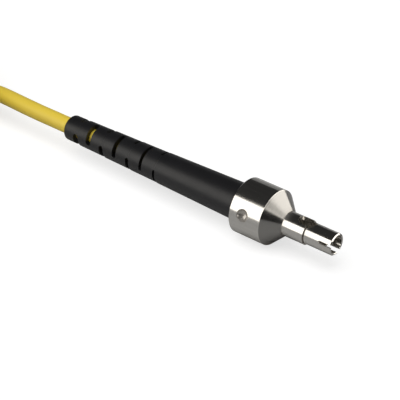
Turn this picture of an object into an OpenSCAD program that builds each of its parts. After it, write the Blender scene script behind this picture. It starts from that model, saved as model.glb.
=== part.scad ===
// Fibre-optic connector on a jacketed pigtail, lying on its collar.
// The connector's axis runs along +X, tip towards +X. Lengths along it are
// counted from the collar's rear face and moved into place by on_axis().

/* [Cable] */
// Diameter of the cable's outer jacket
cable_d = 3.0; // [2.6:0.1:3.2]
// Wall of the cable's outer jacket
jacket_wall = 0.5; // [0.35:0.05:0.7]
// Diameter of the tight buffer round the fibre
buffer_d = 0.9; // [0.7:0.05:1.0]
// Diameter of the bare glass fibre
fibre_d = 0.125; // [0.1:0.005:0.14]
// Length of buffer that stands out of the cut end of the cable
end_buffer_len = 8; // [3:0.5:12]
// Length of aramid yarn that stands out of the cut end of the cable
end_yarn_len = 2; // [1:0.5:3]

/* [Boot] */
// Length of boot behind the collar
boot_len = 38.8; // [34:0.2:44]
// Diameter at the cable end of the boot
boot_tip_d = 4.6; // [4.3:0.05:5]
// Diameter of the boot where it meets the collar
boot_root_d = 6.5; // [6.2:0.05:7]
// Radius of the rounded rim at the cable end
boot_rim = 0.4; // [0.2:0.05:0.6]
// Height of the small step after every second row of slots
boot_step = 0.05; // [0.02:0.01:0.1]
// Number of rows of slots
slot_rows = 7; // [3:1:7]
// Distance from one row of slots to the next
slot_pitch = 3.04; // [2.6:0.02:3.2]
// Distance of the first row from the cable end
slot_first = 2.95; // [2:0.05:3.4]
// Width of the slots in the first row
slot_w_first = 1.2; // [0.8:0.05:1.4]
// Width of the slots in the last row
slot_w_last = 0.5; // [0.4:0.05:0.8]
// Arc that each slot spans, in degrees
slot_arc = 118; // [90:1:130]

/* [Collar] */
// Diameter of the collar
collar_d = 9.6; // [9:0.1:11]
// Length of the collar's straight part
collar_len = 6.1; // [5.6:0.1:8]
// Bevel on the collar's edges
collar_bevel = 0.15; // [0.05:0.05:0.3]
// Diameter of the thread inside the collar
thread_d = 6.0; // [5.8:0.1:6.2]
// Thickness of the collar's wall that stops the nose barrel's flange
collar_wall = 1.1; // [0.8:0.1:1.5]
// Diameter of the dimple in the collar's side
dimple_d = 2.2; // [1.6:0.1:2.6]
// Depth of the dimple
dimple_depth = 0.75; // [0.5:0.05:0.9]
// Distance of the dimple's centre from the collar's rear face
dimple_x = 2.7; // [2:0.1:3.4]
// Turn of the dimple round the axis, from straight up towards the front
dimple_turn = 73; // [60:1:90]

/* [Nose] */
// Diameter of the rear part of the nose
nose_rear_d = 4.25; // [4.15:0.05:4.5]
// Length of the rear part of the nose, in front of the cone
nose_rear_len = 3.95; // [3.6:0.05:4.4]
// Diameter of the slotted front part of the nose
nose_front_d = 3.8; // [3.6:0.05:3.95]
// Length of the slotted front part of the nose
nose_front_len = 5.3; // [4.8:0.05:6]
// Bore of the tip, which takes the mating pin
tip_bore_d = 3.05; // [2.9:0.05:3.2]
// Width of the turned groove at the step of the nose
groove_w = 0.2; // [0.1:0.05:0.3]
// Depth of that groove below the front part
groove_depth = 0.16; // [0.16:0.02:0.2]
// Chamfer round the outside of the tip
tip_chamfer = 0.15; // [0.05:0.05:0.25]
// Chamfer round the mouth of the tip's bore
mouth_chamfer = 0.08; // [0.04:0.02:0.14]
// Length of the window in the nose
window_len = 3.2; // [2.6:0.1:3.6]
// Width of the window in the nose
window_w = 2.3; // [1.8:0.1:2.5]
// Distance of the window's centre behind the step of the nose
window_back = 0.4; // [0.1:0.1:0.8]
// Turn of the window round the axis, from straight up towards the front
window_turn = -4; // [-20:1:20]
// Length of the slots in the tip
tip_slot_len = 2.4; // [1.6:0.1:3]
// Width of the two narrow slots in the tip
tip_slot_w = 0.5; // [0.3:0.05:0.6]
// Width of the wide slot in the tip
key_slot_w = 0.85; // [0.7:0.05:1]

/* [Ferrule] */
// Diameter of the ferrule
ferrule_d = 2.5; // [2.4:0.01:2.5]
// Length of the ferrule
ferrule_len = 10.5; // [10:0.1:11]
// Distance of the ferrule's face behind the foot of the tip's bore
ferrule_recess = 0.3; // [0.1:0.05:0.6]
// How far the ferrule can be pushed back against its spring
ferrule_travel = 1.0; // [0.5:0.1:1.4]
// Radial clearance of the ferrule in the nose barrel
ferrule_fit = 0.02; // [0.01:0.005:0.05]
// Length of the ferrule's guide bore in the nose barrel
guide_len = 6.3; // [6:0.1:6.6]
// Diameter of the holder's flange
flange_d = 4.1; // [4:0.05:4.2]
// Thickness of the holder's flange
flange_len = 1.2; // [0.8:0.1:1.6]
// Wall of the holder behind its flange
holder_wall = 0.3; // [0.2:0.05:0.35]
// Radial clearance of the flange in the backbone
flange_fit = 0.05; // [0.03:0.01:0.08]
// Width of the key that stops the ferrule from turning
key_w = 0.8; // [0.6:0.1:1]
// Height of the key above the flange
key_h = 0.3; // [0.2:0.05:0.35]
// Diameter of the spring's wire
wire_d = 0.4; // [0.3:0.05:0.42]
// Number of turns in the spring
spring_turns = 6; // [4:1:8]
// Thickness of the washer that the spring stands on
washer_len = 0.3; // [0.2:0.05:0.4]

/* [Backbone] */
// Length of the threaded head
head_len = 2.4; // [2:0.1:2.6]
// Depth of the spring chamber, from the front of the head
chamber_len = 9.0; // [8.5:0.1:9.5]
// Wall of the spring chamber behind the head
chamber_wall = 0.35; // [0.25:0.05:0.4]
// Wall at the foot of the spring chamber
foot_wall = 0.6; // [0.4:0.1:0.8]
// Diameter of the neck that the yarn is crimped on
neck_d = 3.5; // [3.3:0.05:3.6]
// Length of the neck
neck_len = 5.4; // [5:0.1:6]
// Bore of the neck
neck_bore_d = 1.5; // [1.4:0.1:1.7]
// Thickness of the yarn between neck and crimp ring
yarn_wall = 0.25; // [0.2:0.05:0.3]
// Wall of the crimp ring
crimp_wall = 0.35; // [0.25:0.05:0.4]
// Length of cable that the crimp ring grips
crimp_tail = 3.0; // [2:0.1:4]

/* [Hidden] */
$fn = 64;
eps = 0.01;
seat_gap = 0.02;       // between pieces that are pushed together
buffer_gap = 0.05;     // between the buffer and the yarn round it
boot_gap = 0.05;       // between the boot and what it covers
head_gap = 0.2;        // between the boot's front and the backbone's head
tail_gap = 0.6;        // between the neck and the end of the cable's jacket
key_gap = 0.2;         // behind the holder's key when it is pushed back
pocket_gap = 0.1;      // behind the crimp ring, inside the boot

// Along the axis, from the collar's rear face
cone_end = collar_len + (collar_d - nose_rear_d) / 2;
collar_land = 0.05;
nose_step = cone_end + nose_rear_len;
nose_tip = nose_step + nose_front_len;
flange_seat = collar_len - collar_wall;
barrel_flange_len = 1.0;
holder_skirt = 1.0;
tube_len = 2;
barrel_rear = flange_seat - barrel_flange_len;
head_rear = barrel_rear - head_len;
bore_foot = barrel_rear + guide_len;
ferrule_face = bore_foot - ferrule_recess;
ferrule_rear = ferrule_face - ferrule_len;
holder_rear = ferrule_rear - holder_skirt;
flange_rear = barrel_rear - flange_len;
chamber_foot = barrel_rear - chamber_len;
neck_front = chamber_foot - foot_wall;
neck_rear = neck_front - neck_len;
jacket_front = neck_rear - tail_gap;
crimp_front = neck_front - seat_gap;
crimp_rear = jacket_front - crimp_tail;
boot_rear = -boot_len;
boot_front = head_rear - head_gap;

// Radii
tube_wall = 0.15;
chamber_r = flange_d / 2 + flange_fit;
chamber_out_r = chamber_r + chamber_wall;
yarn_r = neck_d / 2 + yarn_wall;
crimp_r = yarn_r + crimp_wall;
tail_out_r = cable_d / 2 + crimp_wall;
holder_r = ferrule_d / 2 + holder_wall;
spring_r = (holder_r + chamber_r) / 2;
jacket_in_r = cable_d / 2 - jacket_wall;
yarn_in_r = buffer_d / 2 + buffer_gap;
capillary_d = fibre_d + 0.001;
tube_r = buffer_d / 2 + tube_wall;

// Turns round the axis, from straight up towards the front
even_row_turn = 41;
odd_row_turn = even_row_turn + 90;
tip_slot_turns = [73, -47];
key_slot_turn = -158;
holder_key_turn = 0;

// The axis lies at the collar's radius above the surface
axis_h = collar_d / 2;
mid_x = (nose_tip + boot_rear) / 2;
exit_x = boot_rear - mid_x;

cord_r = cable_d / 2;

// The cable from the boot to its coil. Each point is a place behind the boot,
// a place across and the share of the way down to the surface.
drop_route = [
    [0, 0, 0], [4, 0, 0], [8, 0, 0], [12, 0.1, 0], [16, 0.3, 0.01], [19, 0.6, 0.1],
    [22, 1, 0.35], [25, 1.6, 0.65], [28, 2.2, 0.9], [31, 2.7, 0.99], [34, 3, 1],
    [37, 3.2, 1], [39, 3.3, 1]
];
cord_points = [for (p = drop_route)
    [exit_x - p[0], p[1], axis_h + p[2] * (cord_r - axis_h)]];

// The coil is wound up its outside column and down its inside one. The free end
// curls up on the surface inside it.
coil_r = 15;
coil_columns = 2;
coil_layers = 5;
coil_in_r = coil_r - coil_columns * cord_r;
coil_out_r = coil_r + coil_columns * cord_r;
coil_h = coil_layers * cable_d;
coil_start = cord_points[len(cord_points) - 1];
coil_centre = [coil_start[0], coil_start[1] - coil_out_r + cord_r, 0];
curl_r = 10;
curl_end = 1;
curl_centre = coil_centre + [0, coil_in_r + cord_r - curl_r, cord_r];
curl_points = [for (a = [0:15:180]) curl_centre + curl_r * [-sin(a), cos(a), 0]];
free_end = curl_points[len(curl_points) - 1] + [curl_end, 0, 0];

/* Placing and shared shapes */

module on_axis() {
    translate([-mid_x, 0, axis_h]) children();
}

// A solid turned about the axis from points [radius, place along the axis]
module turned(points) {
    rotate([0, 90, 0]) rotate_extrude() polygon(points);
}

module rod(from, to, d) {
    translate([from, 0, 0]) rotate([0, 90, 0]) cylinder(h = to - from, d = d);
}

// What cuts downwards from straight above the axis is turned towards the front
module turn_from_top(angle) {
    rotate([angle, 0, 0]) children();
}

// Rings of points that follow a path, joined into one closed tube
function unit(v) = v / norm(v);
function path_dir(p, i) =
    unit(p[min(i + 1, len(p) - 1)] - p[max(i - 1, 0)]);
function ring_at(c, dir, up, r, sides) =
    let (side = unit(cross(dir, up)), top = cross(side, dir))
    [for (k = [0:sides - 1]) let (a = 360 * k / sides)
        c + r * (cos(a) * side + sin(a) * top)];

module swept_tube(path, up, r, sides) {
    last = len(path) - 1;
    points = [for (i = [0:last]) each ring_at(path[i], path_dir(path, i), up, r, sides)];
    faces = concat(
        [[for (k = [0:sides - 1]) k]],
        [for (i = [0:last - 1], k = [0:sides - 1]) let (n = (k + 1) % sides)
            each [[i * sides + k, (i + 1) * sides + k, (i + 1) * sides + n],
                  [i * sides + k, (i + 1) * sides + n, i * sides + n]]],
        [[for (k = [sides - 1:-1:0]) last * sides + k]]);
    polyhedron(points, faces);
}

/* Boot */

function boot_r(x) =
    boot_tip_d / 2 + (boot_root_d - boot_tip_d) / 2 * (x - boot_rear) / boot_len;
function slot_w(i) =
    slot_w_first + (slot_w_last - slot_w_first) * i / (slot_rows - 1);
function row_x(i) = boot_rear + slot_first + i * slot_pitch;

// Outline from the cable end to the collar, with its rounded rim and steps
function boot_outline() = concat(
    [for (a = [-90:15:0])
        [boot_tip_d / 2 - boot_rim + boot_rim * cos(a),
         boot_rear + boot_rim + boot_rim * sin(a)]],
    [for (i = [0:2:slot_rows - 1]) let (x = row_x(i) + slot_w(i) / 4)
        each [[boot_r(x) - boot_step, x], [boot_r(x), x + boot_step]]],
    [[boot_root_d / 2, 0], [boot_root_d / 2, boot_front]]);

// Hollow of the boot, from the collar back to the cable end
function boot_hollow() = [
    [0, boot_front + eps],
    [chamber_out_r + boot_gap, boot_front + eps],
    [chamber_out_r + boot_gap, neck_front],
    [crimp_r + boot_gap, neck_front - (chamber_out_r - crimp_r)],
    [crimp_r + boot_gap, jacket_front],
    [tail_out_r + boot_gap, jacket_front - (crimp_r - tail_out_r)],
    [tail_out_r + boot_gap, crimp_rear - pocket_gap],
    [cable_d / 2 + boot_gap, crimp_rear - pocket_gap - crimp_wall],
    [cable_d / 2 + boot_gap, boot_rear - eps],
    [0, boot_rear - eps]
];

// A slot that runs round part of the boot. Its ends narrow in small steps that
// follow a half circle of the slot's width.
module arc_slot(x, width, turn) {
    from = cable_d / 4;
    to = boot_root_d;
    r_mid = (boot_tip_d + boot_root_d) / 4;
    function end_angle(a) = asin(width / 2 * (1 - sin(a)) / r_mid);
    for (a = [0:22.5:67.5]) let (half = slot_arc / 2 - end_angle(a), w = width * cos(a))
        translate([x - w / 2, 0, 0]) turn_from_top(turn)
            rotate([90, 0, 90]) linear_extrude(w) polygon(concat(
                [for (b = [-half:half / 2:half]) to * [sin(b), cos(b)]],
                [for (b = [half:-half / 2:-half]) from * [sin(b), cos(b)]]));
}

module strain_relief_boot() {
    color("#17171a") on_axis() difference() {
        turned(concat([[0, boot_rear]], boot_outline(), [[0, boot_front]]));
        turned(boot_hollow());
        for (i = [0:slot_rows - 1], half = [0, 180])
            arc_slot(row_x(i), slot_w(i),
                (i % 2 == 0 ? odd_row_turn : even_row_turn) + half);
    }
}

/* Metal parts */

module dimple() {
    // Short straight wall, then a hollow ground as part of a ball
    edge_wall = 0.1;
    cap = dimple_depth - edge_wall;
    ball_r = (dimple_d * dimple_d / 4 + cap * cap) / (2 * cap);
    top = collar_d / 2;
    // How far the collar's round side falls away under the dimple's edge
    sag = top - sqrt(top * top - dimple_d * dimple_d / 4);
    translate([dimple_x, 0, 0]) turn_from_top(dimple_turn) {
        translate([0, 0, top - sag - edge_wall]) cylinder(h = dimple_d, d = dimple_d);
        translate([0, 0, top - sag - edge_wall]) intersection() {
            translate([0, 0, ball_r - cap]) sphere(r = ball_r);
            translate([0, 0, -cap]) cylinder(h = cap + eps, d = dimple_d);
        }
    }
}

module collar() {
    r = collar_d / 2;
    front_r = nose_rear_d / 2 + seat_gap + collar_land;
    color("#d8d6d0") on_axis() difference() {
        turned([
            [boot_root_d / 2 + boot_gap, 0],
            [r - collar_bevel, 0],
            [r, collar_bevel],
            [r, collar_len - collar_bevel / 4],
            [r - collar_bevel / 4, collar_len],
            [front_r, collar_len + r - collar_bevel / 4 - front_r],
            [nose_rear_d / 2 + seat_gap, collar_len + r - collar_bevel / 4 - front_r],
            [nose_rear_d / 2 + seat_gap, flange_seat],
            [thread_d / 2, flange_seat],
            [thread_d / 2, head_rear],
            [boot_root_d / 2 + boot_gap, head_rear]
        ]);
        dimple();
    }
}

module window_cut() {
    reach = (window_len - window_w) / 2;
    turn_from_top(window_turn) for (side = [-1, 1])
        translate([nose_step - window_back + side * reach, 0, 0])
            cylinder(h = nose_rear_d, d = window_w);
    turn_from_top(window_turn)
        translate([nose_step - window_back - reach, -window_w / 2, 0])
            cube([2 * reach, window_w, nose_rear_d]);
}

module tip_slot(width, turn) {
    foot = nose_tip - tip_slot_len + width / 2;
    turn_from_top(turn) {
        translate([foot, 0, 0]) cylinder(h = nose_front_d, d = width);
        translate([foot, -width / 2, 0]) cube([tip_slot_len, width, nose_front_d]);
    }
}

module nose_barrel() {
    rear_r = nose_rear_d / 2;
    front_r = nose_front_d / 2;
    bore_r = tip_bore_d / 2;
    guide_r = ferrule_d / 2 + ferrule_fit;
    color("#dcdad4") on_axis() difference() {
        turned([
            [guide_r, barrel_rear],
            [thread_d / 2 - seat_gap, barrel_rear],
            [thread_d / 2 - seat_gap, flange_seat],
            [rear_r, flange_seat],
            [rear_r, nose_step],
            [front_r - groove_depth, nose_step],
            [front_r - groove_depth, nose_step + groove_w],
            [front_r, nose_step + groove_w],
            [front_r, nose_tip - tip_chamfer],
            [front_r - tip_chamfer, nose_tip],
            [bore_r + mouth_chamfer, nose_tip],
            [bore_r, nose_tip - mouth_chamfer],
            [bore_r, bore_foot],
            [guide_r, bore_foot]
        ]);
        window_cut();
        for (turn = tip_slot_turns) tip_slot(tip_slot_w, turn);
        tip_slot(key_slot_w, key_slot_turn);
    }
}

module backbone() {
    grooves = 4;
    groove = 0.4;
    groove_in = 0.08;
    color("#c9c6bd") on_axis() difference() {
        turned(concat(
            [[neck_bore_d / 2, chamber_foot],
             [chamber_r, chamber_foot],
             [chamber_r, barrel_rear],
             [thread_d / 2 - seat_gap, barrel_rear],
             [thread_d / 2 - seat_gap, head_rear],
             [chamber_out_r, head_rear],
             [chamber_out_r, neck_front],
             [neck_d / 2, neck_front]],
            [for (i = [1:grooves])
                let (x = neck_front - i * (neck_len - groove) / (grooves + 1))
                each [[neck_d / 2, x], [neck_d / 2 - groove_in, x - groove / 4],
                      [neck_d / 2 - groove_in, x - groove * 3 / 4],
                      [neck_d / 2, x - groove]]],
            [[neck_d / 2, neck_rear],
             [neck_bore_d / 2, neck_rear]]));
        // Keyway for the holder's key
        turn_from_top(holder_key_turn)
            translate([flange_rear - ferrule_travel - key_gap,
                       -key_w / 2 - flange_fit, 0])
                cube([flange_len + ferrule_travel + key_gap + eps,
                      key_w + 2 * flange_fit, flange_d / 2 + key_h + flange_fit]);
    }
}

module crimp_ring() {
    color("#bdb9ae") on_axis() turned([
        [yarn_r, crimp_front],
        [crimp_r, crimp_front],
        [crimp_r, neck_rear],
        [tail_out_r, jacket_front],
        [tail_out_r, crimp_rear],
        [cable_d / 2, crimp_rear],
        [cable_d / 2, jacket_front],
        [yarn_r, neck_rear]
    ]);
}

/* Ferrule and spring */

module ferrule() {
    nose_bevel = 0.25;
    color("#f3f0e8") on_axis() turned([
        [capillary_d / 2, ferrule_rear],
        [ferrule_d / 2, ferrule_rear],
        [ferrule_d / 2, ferrule_face - nose_bevel],
        [ferrule_d / 2 - nose_bevel, ferrule_face],
        [capillary_d / 2, ferrule_face]
    ]);
}

module optical_fibre() {
    color("#cfe6f2") on_axis() rod(ferrule_rear, ferrule_face, fibre_d);
}

module ferrule_holder() {
    color("#cdb778") on_axis() {
        difference() {
            union() {
                turned([
                    [0, holder_rear],
                    [holder_r, holder_rear],
                    [holder_r, flange_rear],
                    [flange_d / 2, flange_rear],
                    [flange_d / 2, barrel_rear],
                    [0, barrel_rear]
                ]);
                turn_from_top(holder_key_turn) translate([flange_rear, -key_w / 2, 0])
                    cube([flange_len, key_w, flange_d / 2 + key_h]);
            }
            rod(ferrule_rear, barrel_rear + eps, ferrule_d);
            rod(holder_rear - eps, ferrule_rear + eps, 2 * tube_r);
        }
    }
}

module ferrule_spring() {
    from = chamber_foot + washer_len + wire_d / 2;
    to = flange_rear - wire_d / 2;
    steps = 16;
    coil = [for (i = [0:steps * spring_turns]) let (a = 360 * i / steps)
        [from + (to - from) * i / (steps * spring_turns),
         spring_r * cos(a), spring_r * sin(a)]];
    color("#8f9296") on_axis() swept_tube(coil, [1, 0, 0], wire_d / 2, 6);
}

module spring_washer() {
    color("#a8a9ab") on_axis() difference() {
        rod(chamber_foot, chamber_foot + washer_len, 2 * (chamber_r - seat_gap));
        rod(chamber_foot - eps, chamber_foot + washer_len + eps, neck_bore_d);
    }
}

/* Cable */

module cable_jacket() {
    color("#e8c63a") on_axis() difference() {
        rod(boot_rear, jacket_front, cable_d);
        rod(boot_rear - eps, jacket_front + eps, 2 * jacket_in_r);
    }
}

module aramid_yarn() {
    color("#e5d98c") on_axis() turned([
        [yarn_in_r, boot_rear],
        [jacket_in_r, boot_rear],
        [jacket_in_r, jacket_front],
        [yarn_r, neck_rear],
        [yarn_r, crimp_front],
        [neck_d / 2, crimp_front],
        [neck_d / 2, neck_rear],
        [neck_bore_d / 2, neck_rear],
        [yarn_in_r, jacket_front]
    ]);
}

module buffer_tube() {
    color("#e9ecee") on_axis() difference() {
        rod(holder_rear - tube_len, ferrule_rear, 2 * tube_r);
        rod(holder_rear - tube_len - eps, ferrule_rear + eps, buffer_d);
    }
}

module tight_buffer() {
    color("#f5f3ea") on_axis()
        rod(boot_rear + 2 * ferrule_travel, ferrule_rear, buffer_d);
}

module cord_tube() {
    color("#e8c63a") swept_tube(cord_points, [0, 0, 1], cord_r, 8);
}

// The outer shape of the wound turns
module cord_coil() {
    function corner(r, z, from) =
        [for (a = [from:15:from + 90]) [r + cord_r * cos(a), z + cord_r * sin(a)]];
    color("#e8c63a") translate(coil_centre) rotate_extrude() polygon(concat(
        corner(coil_in_r + cord_r, cord_r, 180),
        corner(coil_out_r - cord_r, cord_r, 270),
        corner(coil_out_r - cord_r, coil_h - cord_r, 0),
        corner(coil_in_r + cord_r, coil_h - cord_r, 90)));
}

module cord_curl() {
    color("#e8c63a") swept_tube(concat(curl_points, [free_end]), [0, 0, 1], cord_r, 8);
}

module cord_end_yarn() {
    color("#e5d98c") translate(free_end) difference() {
        rod(0, end_yarn_len, 2 * jacket_in_r);
        rod(-eps, end_yarn_len + eps, buffer_d);
    }
}

module cord_end_buffer() {
    color("#f5f3ea") translate(free_end) rod(0, end_buffer_len, buffer_d);
}

strain_relief_boot();
collar();
nose_barrel();
ferrule();
optical_fibre();
ferrule_holder();
ferrule_spring();
spring_washer();
backbone();
crimp_ring();
aramid_yarn();
cable_jacket();
buffer_tube();
tight_buffer();
cord_tube();
cord_coil();
cord_curl();
cord_end_yarn();
cord_end_buffer();
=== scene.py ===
"""Looks of the fibre connector and its jacketed pigtail, on a pale floor."""
import math

import bpy
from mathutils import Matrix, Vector


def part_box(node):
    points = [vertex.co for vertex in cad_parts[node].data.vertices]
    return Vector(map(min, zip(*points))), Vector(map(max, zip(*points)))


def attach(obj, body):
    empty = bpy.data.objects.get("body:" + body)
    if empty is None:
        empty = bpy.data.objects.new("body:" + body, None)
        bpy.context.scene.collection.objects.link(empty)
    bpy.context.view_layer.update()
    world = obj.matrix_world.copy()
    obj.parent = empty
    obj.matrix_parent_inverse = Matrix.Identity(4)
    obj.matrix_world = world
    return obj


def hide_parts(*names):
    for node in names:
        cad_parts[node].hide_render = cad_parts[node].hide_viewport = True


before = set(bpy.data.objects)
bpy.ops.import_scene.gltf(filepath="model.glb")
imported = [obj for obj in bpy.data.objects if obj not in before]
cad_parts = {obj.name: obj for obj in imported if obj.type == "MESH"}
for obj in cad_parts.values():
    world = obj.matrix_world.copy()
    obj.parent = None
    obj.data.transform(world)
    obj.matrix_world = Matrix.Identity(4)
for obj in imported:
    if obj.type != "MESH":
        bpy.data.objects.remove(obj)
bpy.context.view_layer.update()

MM = 0.001


# --- Where things are, from the frame -------------------------------------

def low(node):
    return Vector(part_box(node)[0])


def high(node):
    return Vector(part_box(node)[1])


AXIS_H = (low("collar").z + high("collar").z) / 2
BOOT_END = low("strain_relief_boot").x
JACKET_D = high("cable_jacket").z - low("cable_jacket").z


# --- Camera ----------------------------------------------------------------

# Fitted to the rims of the collar and the tip in the photograph
AZIMUTH = math.radians(38.8)
ELEVATION = math.radians(34.2)
DISTANCE = 250 * MM
AIM = Vector((2.2, -1.83, 3.15)) * MM
LENS = 135
SENSOR_WIDTH = 36
CLIP_START = 10 * MM


def place_camera():
    """At the photograph's angle: front right, looking down on the tip."""
    back = Vector((
        math.sin(AZIMUTH) * math.cos(ELEVATION),
        -math.cos(AZIMUTH) * math.cos(ELEVATION),
        math.sin(ELEVATION),
    ))
    data = bpy.data.cameras.new("camera")
    data.lens = LENS
    data.sensor_width = SENSOR_WIDTH
    data.clip_start = CLIP_START
    camera = bpy.data.objects.new("camera", data)
    camera.location = AIM + back * DISTANCE
    camera.rotation_euler = back.to_track_quat("Z", "Y").to_euler()
    bpy.context.scene.collection.objects.link(camera)
    bpy.context.scene.camera = camera


place_camera()


# --- The cable --------------------------------------------------------------

# The cable from the boot to its coil: places behind the boot and across it in
# millimetres, and the share of the way down to the surface.
DROP_ROUTE = [
    (0, 0, 0), (4, 0, 0), (8, 0, 0), (12, 0.1, 0), (16, 0.3, 0.01), (19, 0.6, 0.1),
    (22, 1, 0.35), (25, 1.6, 0.65), (28, 2.2, 0.9), (31, 2.7, 0.99), (34, 3, 1),
    (37, 3.2, 1), (39, 3.3, 1),
]
JACKET_R = JACKET_D / 2
COIL_R = 15 * MM
COIL_LAYERS = 5
CURL_R = 10 * MM
CURL_END = 1 * MM
STEPS_A_TURN = 48
# Turns fill the coil's outside column upwards and its inside one downwards.
TURNS = ([(1, layer) for layer in range(COIL_LAYERS)]
         + [(-1, layer) for layer in reversed(range(COIL_LAYERS))])
# The part of a turn in which the cable moves on to its next place. The inside
# turns step down first and the outside ones step up last, so none meet.
STEP_DOWN = (0.28, 0.48)
CROSS_OVER = (0.48, 0.70)
STEP_UP = (0.70, 0.90)


def blend(start, end, share):
    return start + (end - start) * share


def ease(share):
    share = min(max(share, 0), 1)
    return share * share * (3 - 2 * share)


def smooth_route(points, steps=6):
    """Points on a smooth curve through the route's points."""
    padded = [points[0] * 2 - points[1], *points, points[-1] * 2 - points[-2]]
    out = []
    for a, b, c, d in zip(padded, padded[1:], padded[2:], padded[3:]):
        for i in range(steps):
            t = i / steps
            out.append(0.5 * (
                2 * b + (c - a) * t + (2 * a - 5 * b + 4 * c - d) * t ** 2
                + (3 * b - a - 3 * c + d) * t ** 3
            ))
    out.append(points[-1])
    return out


def drop_points():
    return [
        Vector((
            BOOT_END - along * MM,
            across * MM,
            blend(AXIS_H, JACKET_R, share),
        ))
        for along, across, share in DROP_ROUTE
    ]


def coil_points(centre):
    """Turns beside and on each other, from the outside bottom to the inside bottom."""
    out = []
    for i in range(1, (len(TURNS) - 1) * STEPS_A_TURN):
        turn, step = divmod(i, STEPS_A_TURN)
        (column, layer), (next_column, next_layer) = TURNS[turn:turn + 2]
        if column != next_column:
            start, end = CROSS_OVER
        else:
            start, end = STEP_UP if column > 0 else STEP_DOWN
        share = ease((step / STEPS_A_TURN - start) / (end - start))
        radius = COIL_R + blend(column, next_column, share) * JACKET_R
        angle = math.pi / 2 + math.tau * i / STEPS_A_TURN
        out.append(centre + Vector((
            radius * math.cos(angle),
            radius * math.sin(angle),
            JACKET_D * blend(layer, next_layer, share) + JACKET_R,
        )))
    return out


def curl_points(centre):
    """The free end, curled up on the surface inside the coil."""
    middle = centre + Vector((0, COIL_R - JACKET_R - CURL_R, JACKET_R))
    steps = STEPS_A_TURN // 2
    curl = [
        middle + CURL_R * Vector((-math.sin(a), math.cos(a), 0))
        for a in (math.pi * i / steps for i in range(steps + 1))
    ]
    return curl + [curl[-1] + Vector((CURL_END, 0, 0))]


def tube_mesh(name, path, radius, sides=24):
    """A closed tube whose rings turn as little as they can along the path."""
    vertices, faces = [], []
    side = Vector((0, 1, 0))
    for i, point in enumerate(path):
        ahead = path[min(i + 1, len(path) - 1)] - path[max(i - 1, 0)]
        ahead.normalize()
        side = (side - ahead * side.dot(ahead)).normalized()
        top = ahead.cross(side)
        for k in range(sides):
            a = math.tau * k / sides
            around = math.cos(a) * side + math.sin(a) * top
            vertices.append(point + radius * around)
    for i in range(len(path) - 1):
        for k in range(sides):
            n = (k + 1) % sides
            faces.append((i * sides + k, i * sides + n,
                          (i + 1) * sides + n, (i + 1) * sides + k))
    faces.append(tuple(reversed(range(sides))))
    faces.append(tuple(range((len(path) - 1) * sides, len(path) * sides)))
    mesh = bpy.data.meshes.new(name)
    mesh.from_pydata(vertices, [], faces)
    mesh.update()
    for polygon in mesh.polygons:
        polygon.use_smooth = len(polygon.vertices) == 4
    piece = bpy.data.objects.new(name, mesh)
    bpy.context.scene.collection.objects.link(piece)
    return piece


def make_cord():
    drop = smooth_route(drop_points())
    centre = Vector((drop[-1].x, drop[-1].y - COIL_R - JACKET_R, 0))
    path = drop + coil_points(centre) + curl_points(centre)
    cord = tube_mesh("cord", path, JACKET_R)
    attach(cord, "root")
    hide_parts("cord_tube", "cord_coil", "cord_curl")
    return cord


cord = make_cord()


# --- Materials --------------------------------------------------------------

class Nodes:
    """A material's node tree, with short calls for adding and linking."""

    def __init__(self, name, color, roughness, metallic=0.0):
        self.material = bpy.data.materials.new(name)
        self.material.use_nodes = True
        self.tree = self.material.node_tree
        self.shader = self.tree.nodes["Principled BSDF"]
        self.set("Base Color", (*color, 1))
        self.set("Roughness", roughness)
        self.set("Metallic", metallic)
        self.place = self.add("ShaderNodeTexCoord").outputs["Object"]

    def set(self, socket, value):
        self.shader.inputs[socket].default_value = value

    def add(self, kind, inputs=None, **settings):
        node = self.tree.nodes.new(kind)
        for key, value in settings.items():
            setattr(node, key, value)
        for key, value in (inputs or {}).items():
            if isinstance(value, bpy.types.NodeSocket):
                self.tree.links.new(value, node.inputs[key])
            else:
                node.inputs[key].default_value = value
        return node

    def along(self):
        """The place along the connector's axis."""
        return self.add("ShaderNodeSeparateXYZ", {0: self.place}).outputs["X"]

    def noise(self, scale, detail=2.0, stretch=(1, 1, 1)):
        mapping = self.add("ShaderNodeMapping", {
            "Vector": self.place, "Scale": stretch})
        return self.add("ShaderNodeTexNoise", {
            "Vector": mapping.outputs[0], "Scale": scale, "Detail": detail,
        }).outputs["Fac"]

    def ranged(self, value, first, last, start=0.0, end=1.0):
        """From first to last while the value goes from start to end."""
        return self.add("ShaderNodeMapRange", {
            0: value, 1: start, 2: end, 3: first, 4: last}).outputs[0]

    def drive(self, socket, value):
        self.tree.links.new(value, self.shader.inputs[socket])

    def mix_value(self, share, first, second):
        return self.add("ShaderNodeMix", {0: share, 2: first, 3: second}).outputs[0]

    def mix_color(self, share, first, second):
        """Between two colours, each a triple or a socket."""
        first, second = (
            color if isinstance(color, bpy.types.NodeSocket) else (*color, 1)
            for color in (first, second)
        )
        return self.add("ShaderNodeMix", {0: share, 6: first, 7: second},
                        data_type="RGBA").outputs[2]

    def bump(self, height, strength, distance):
        self.drive("Normal", self.add("ShaderNodeBump", {
            "Height": height, "Strength": strength, "Distance": distance,
        }).outputs[0])


def shade(color, factor):
    return tuple(c * factor for c in color)


# Dark colour of the fine turning rings, and painted shade in grooves, slots and
# hollows
RING_DIRT_AND_HOLLOW_SHADE = (0.30, 0.26, 0.22)
HOLLOW_SHADE_ROUGHNESS = 0.55
HOLLOWS = 1.5 * MM      # painted shade lies where walls are nearer than this
CONE_SHADE = 0.4
RING_STRENGTH = 0.12
RING_DEPTH = 0.02 * MM


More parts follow.
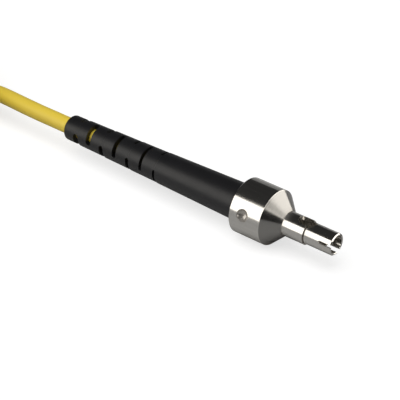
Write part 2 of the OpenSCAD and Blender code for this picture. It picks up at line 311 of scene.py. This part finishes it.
def turned_metal(name, color, roughness, cone_from=None):
    """Plated, lathe-turned metal: rings round the axis, faint lengthwise streaks and
    stains, painted shade in hollows. From cone_from on, painted shade darkens the
    cone."""
    m = Nodes(name, color, roughness, metallic=1.0)
    rings = m.noise(9000, detail=3, stretch=(1, 0.01, 0.01))
    streaks = m.noise(1400, detail=3, stretch=(0.04, 1, 1))
    stains = m.noise(700, detail=3)
    plain = m.mix_color(streaks, shade(color, 0.72), shade(color, 1.12))
    bright = m.mix_color(m.ranged(rings, 0.85, 1.0), RING_DIRT_AND_HOLLOW_SHADE, plain)
    # Painted shade: from cone_from on, the colour drops to CONE_SHADE of the plating
    if cone_from is not None:
        on_cone = m.add("ShaderNodeMath", {0: m.along(), 1: cone_from},
                        operation="GREATER_THAN").outputs[0]
        bright = m.mix_color(on_cone, bright, shade(color, CONE_SHADE))
    # Painted shade: where walls are near, the metal turns a flat, rougher, less
    # metallic brown-grey
    open_air = m.add("ShaderNodeAmbientOcclusion", {"Distance": HOLLOWS}, samples=8)
    unshaded = m.ranged(open_air.outputs["AO"], -0.25, 1.0)
    m.drive("Base Color", m.mix_color(unshaded, RING_DIRT_AND_HOLLOW_SHADE, bright))
    m.drive("Metallic", unshaded)
    polish = m.ranged(stains, roughness * 0.85, roughness * 1.2)
    m.drive("Roughness", m.mix_value(unshaded, HOLLOW_SHADE_ROUGHNESS, polish))
    m.bump(rings, RING_STRENGTH, RING_DEPTH)
    return m.material


def rubber(name, color):
    m = Nodes(name, color, 0.44)
    grain = m.noise(9000, detail=4)
    patches = m.noise(500, detail=2)
    m.drive("Roughness", m.ranged(patches, 0.38, 0.48))
    m.drive("Base Color", m.mix_color(patches, color, shade(color, 1.35)))
    m.bump(grain, 0.15, 0.03 * MM)
    return m.material


BLACK = (0, 0, 0)
DIM_OVER = 3 * MM       # the painted shadow on the jacket deepens over this length
DIM_SHARE = 0.85


def cable_plastic(name, color, dark, dim_from=None):
    """Satin jacket. From dim_from on it is painted darker, as shadow deep in the boot.
    """
    m = Nodes(name, color, 0.4)
    grain = m.noise(4000, detail=3)
    cloud = m.noise(250, detail=2)
    tone = m.mix_color(cloud, dark, color)
    if dim_from is not None:
        # Painted shadow: the jacket fades towards black deeper in the boot
        dim = m.ranged(m.along(), 0.0, DIM_SHARE, dim_from, dim_from + DIM_OVER)
        tone = m.mix_color(dim, tone, BLACK)
    m.drive("Base Color", tone)
    m.drive("Roughness", m.ranged(cloud, 0.36, 0.46))
    m.bump(grain, 0.1, 0.04 * MM)
    return m.material


def yarn(name, color):
    m = Nodes(name, color, 0.6)
    strands = m.noise(6000, detail=4, stretch=(0.03, 1, 1))
    m.drive("Base Color", m.mix_color(strands, shade(color, 0.6), color))
    m.bump(strands, 0.5, 0.1 * MM)
    return m.material


def smooth_solid(name, color, roughness):
    m = Nodes(name, color, roughness)
    cloud = m.noise(600, detail=2)
    m.drive("Roughness", m.ranged(cloud, roughness * 0.8, roughness * 1.2))
    m.drive("Base Color", m.mix_color(cloud, shade(color, 0.96), color))
    return m.material


def dress(piece, material):
    piece.data.materials.clear()
    piece.data.materials.append(material)


COLLAR_STRAIGHT = 6.1 * MM      # the collar's cone begins after this
JACKET_LIT = 6.5 * MM           # the jacket is painted dark as shadow from this far into the boot
PLATING = (0.80, 0.78, 0.74)
JACKET_COLORS = (0.86, 0.65, 0.07), (0.80, 0.59, 0.06)
YARN = yarn("aramid", (0.78, 0.62, 0.22))
BUFFER = smooth_solid("buffer", (0.86, 0.84, 0.78), 0.35)

LOOKS = {
    "strain_relief_boot": rubber("boot_rubber", (0.008, 0.008, 0.009)),
    "collar": turned_metal("collar_metal", PLATING, 0.16,
                           cone_from=low("collar").x + COLLAR_STRAIGHT),
    "nose_barrel": turned_metal("nose_metal", PLATING, 0.14),
    "ferrule": smooth_solid("ceramic", (0.9, 0.88, 0.84), 0.15),
    "optical_fibre": smooth_solid("fibre_glass", (0.8, 0.88, 0.92), 0.05),
    "ferrule_holder": turned_metal("holder_brass", (0.72, 0.55, 0.28), 0.25),
    "ferrule_spring": turned_metal("spring_steel", (0.5, 0.5, 0.52), 0.3),
    "spring_washer": turned_metal("washer_steel", (0.56, 0.56, 0.58), 0.35),
    "backbone": turned_metal("inner_metal", (0.62, 0.60, 0.56), 0.3),
    "crimp_ring": turned_metal("crimp_metal", (0.58, 0.55, 0.5), 0.35),
    "aramid_yarn": YARN,
    "cable_jacket": cable_plastic("jacket_in_boot", *JACKET_COLORS,
                                  dim_from=BOOT_END + JACKET_LIT),
    "buffer_tube": smooth_solid("guide_tube", (0.8, 0.82, 0.84), 0.3),
    "tight_buffer": BUFFER,
    "cord_end_yarn": YARN,
    "cord_end_buffer": BUFFER,
}
for node, material in LOOKS.items():
    dress(bpy.data.objects[node], material)
dress(cord, cable_plastic("jacket", *JACKET_COLORS))


# --- Floor and light ----------------------------------------------------------

WHITE = (1, 1, 1, 1)
FLOOR_WIDTH = 4
FLOOR_COLOR = (0.45, 0.45, 0.45, 1)
FLOOR_ROUGHNESS = 0.9
FLOOR_LIFT = 0.70       # what the floor still lacks to be white to the camera
STUDIO_LIGHT = 0.03

def camera_ray(tree):
    return tree.nodes.new("ShaderNodeLightPath").outputs["Is Camera Ray"]


def make_world():
    """White to the camera, and a dim studio to everything else."""
    world = bpy.data.worlds.new("world")
    bpy.context.scene.world = world
    world.use_nodes = True
    tree = world.node_tree
    strength = tree.nodes.new("ShaderNodeMapRange")
    strength.inputs[3].default_value = STUDIO_LIGHT
    strength.inputs[4].default_value = 1.0
    tree.links.new(camera_ray(tree), strength.inputs[0])
    background = tree.nodes["Background"]
    background.inputs["Color"].default_value = WHITE
    tree.links.new(strength.outputs[0], background.inputs["Strength"])


def make_floor():
    """Pale, and lifted to white for the camera without lighting the part."""
    half = FLOOR_WIDTH / 2
    mesh = bpy.data.meshes.new("floor")
    mesh.from_pydata(
        [(-half, -half, 0), (half, -half, 0), (half, half, 0), (-half, half, 0)],
        [], [(0, 1, 2, 3)],
    )
    floor = bpy.data.objects.new("floor", mesh)
    bpy.context.scene.collection.objects.link(floor)
    material = bpy.data.materials.new("floor")
    material.use_nodes = True
    tree = material.node_tree
    shader = tree.nodes["Principled BSDF"]
    shader.inputs["Base Color"].default_value = FLOOR_COLOR
    shader.inputs["Roughness"].default_value = FLOOR_ROUGHNESS
    shader.inputs["Specular IOR Level"].default_value = 0.0
    shader.inputs["Emission Color"].default_value = WHITE
    lift = tree.nodes.new("ShaderNodeMath")
    lift.operation = "MULTIPLY"
    lift.inputs[1].default_value = FLOOR_LIFT
    tree.links.new(camera_ray(tree), lift.inputs[0])
    tree.links.new(lift.outputs[0], shader.inputs["Emission Strength"])
    dress(floor, material)


def soft_light(name, size, location, radiance, seen_in="both", color=(1, 1, 1)):
    """A softbox that faces the part, and lights its gloss, its matt side or both."""
    data = bpy.data.lights.new(name, "AREA")
    data.shape = "RECTANGLE"
    data.size, data.size_y = size
    data.energy = radiance * math.pi * size[0] * size[1]
    data.color = color
    light = bpy.data.objects.new(name, data)
    light.location = location
    light.rotation_euler = Vector(location).to_track_quat("Z", "Y").to_euler()
    light.visible_glossy = seen_in != "matt"
    light.visible_diffuse = seen_in != "gloss"
    bpy.context.scene.collection.objects.link(light)


WARM = (1.0, 0.97, 0.92)

make_world()
make_floor()
soft_light("key", (0.42, 0.52), (-0.31, -0.45, 0.24), 2.0, color=WARM)
soft_light("side", (1.4, 0.42), (0.46, 0.36, 0.23), 2.5, seen_in="gloss",
           color=WARM)
soft_light("rim", (0.3, 0.2), (-0.32, 0.52, 0.08), 0.2, seen_in="gloss")
soft_light("fill", (0.7, 0.7), (-0.05, -0.10, 0.60), 2.3, seen_in="matt")

bpy.context.scene.view_settings.view_transform = "Standard"
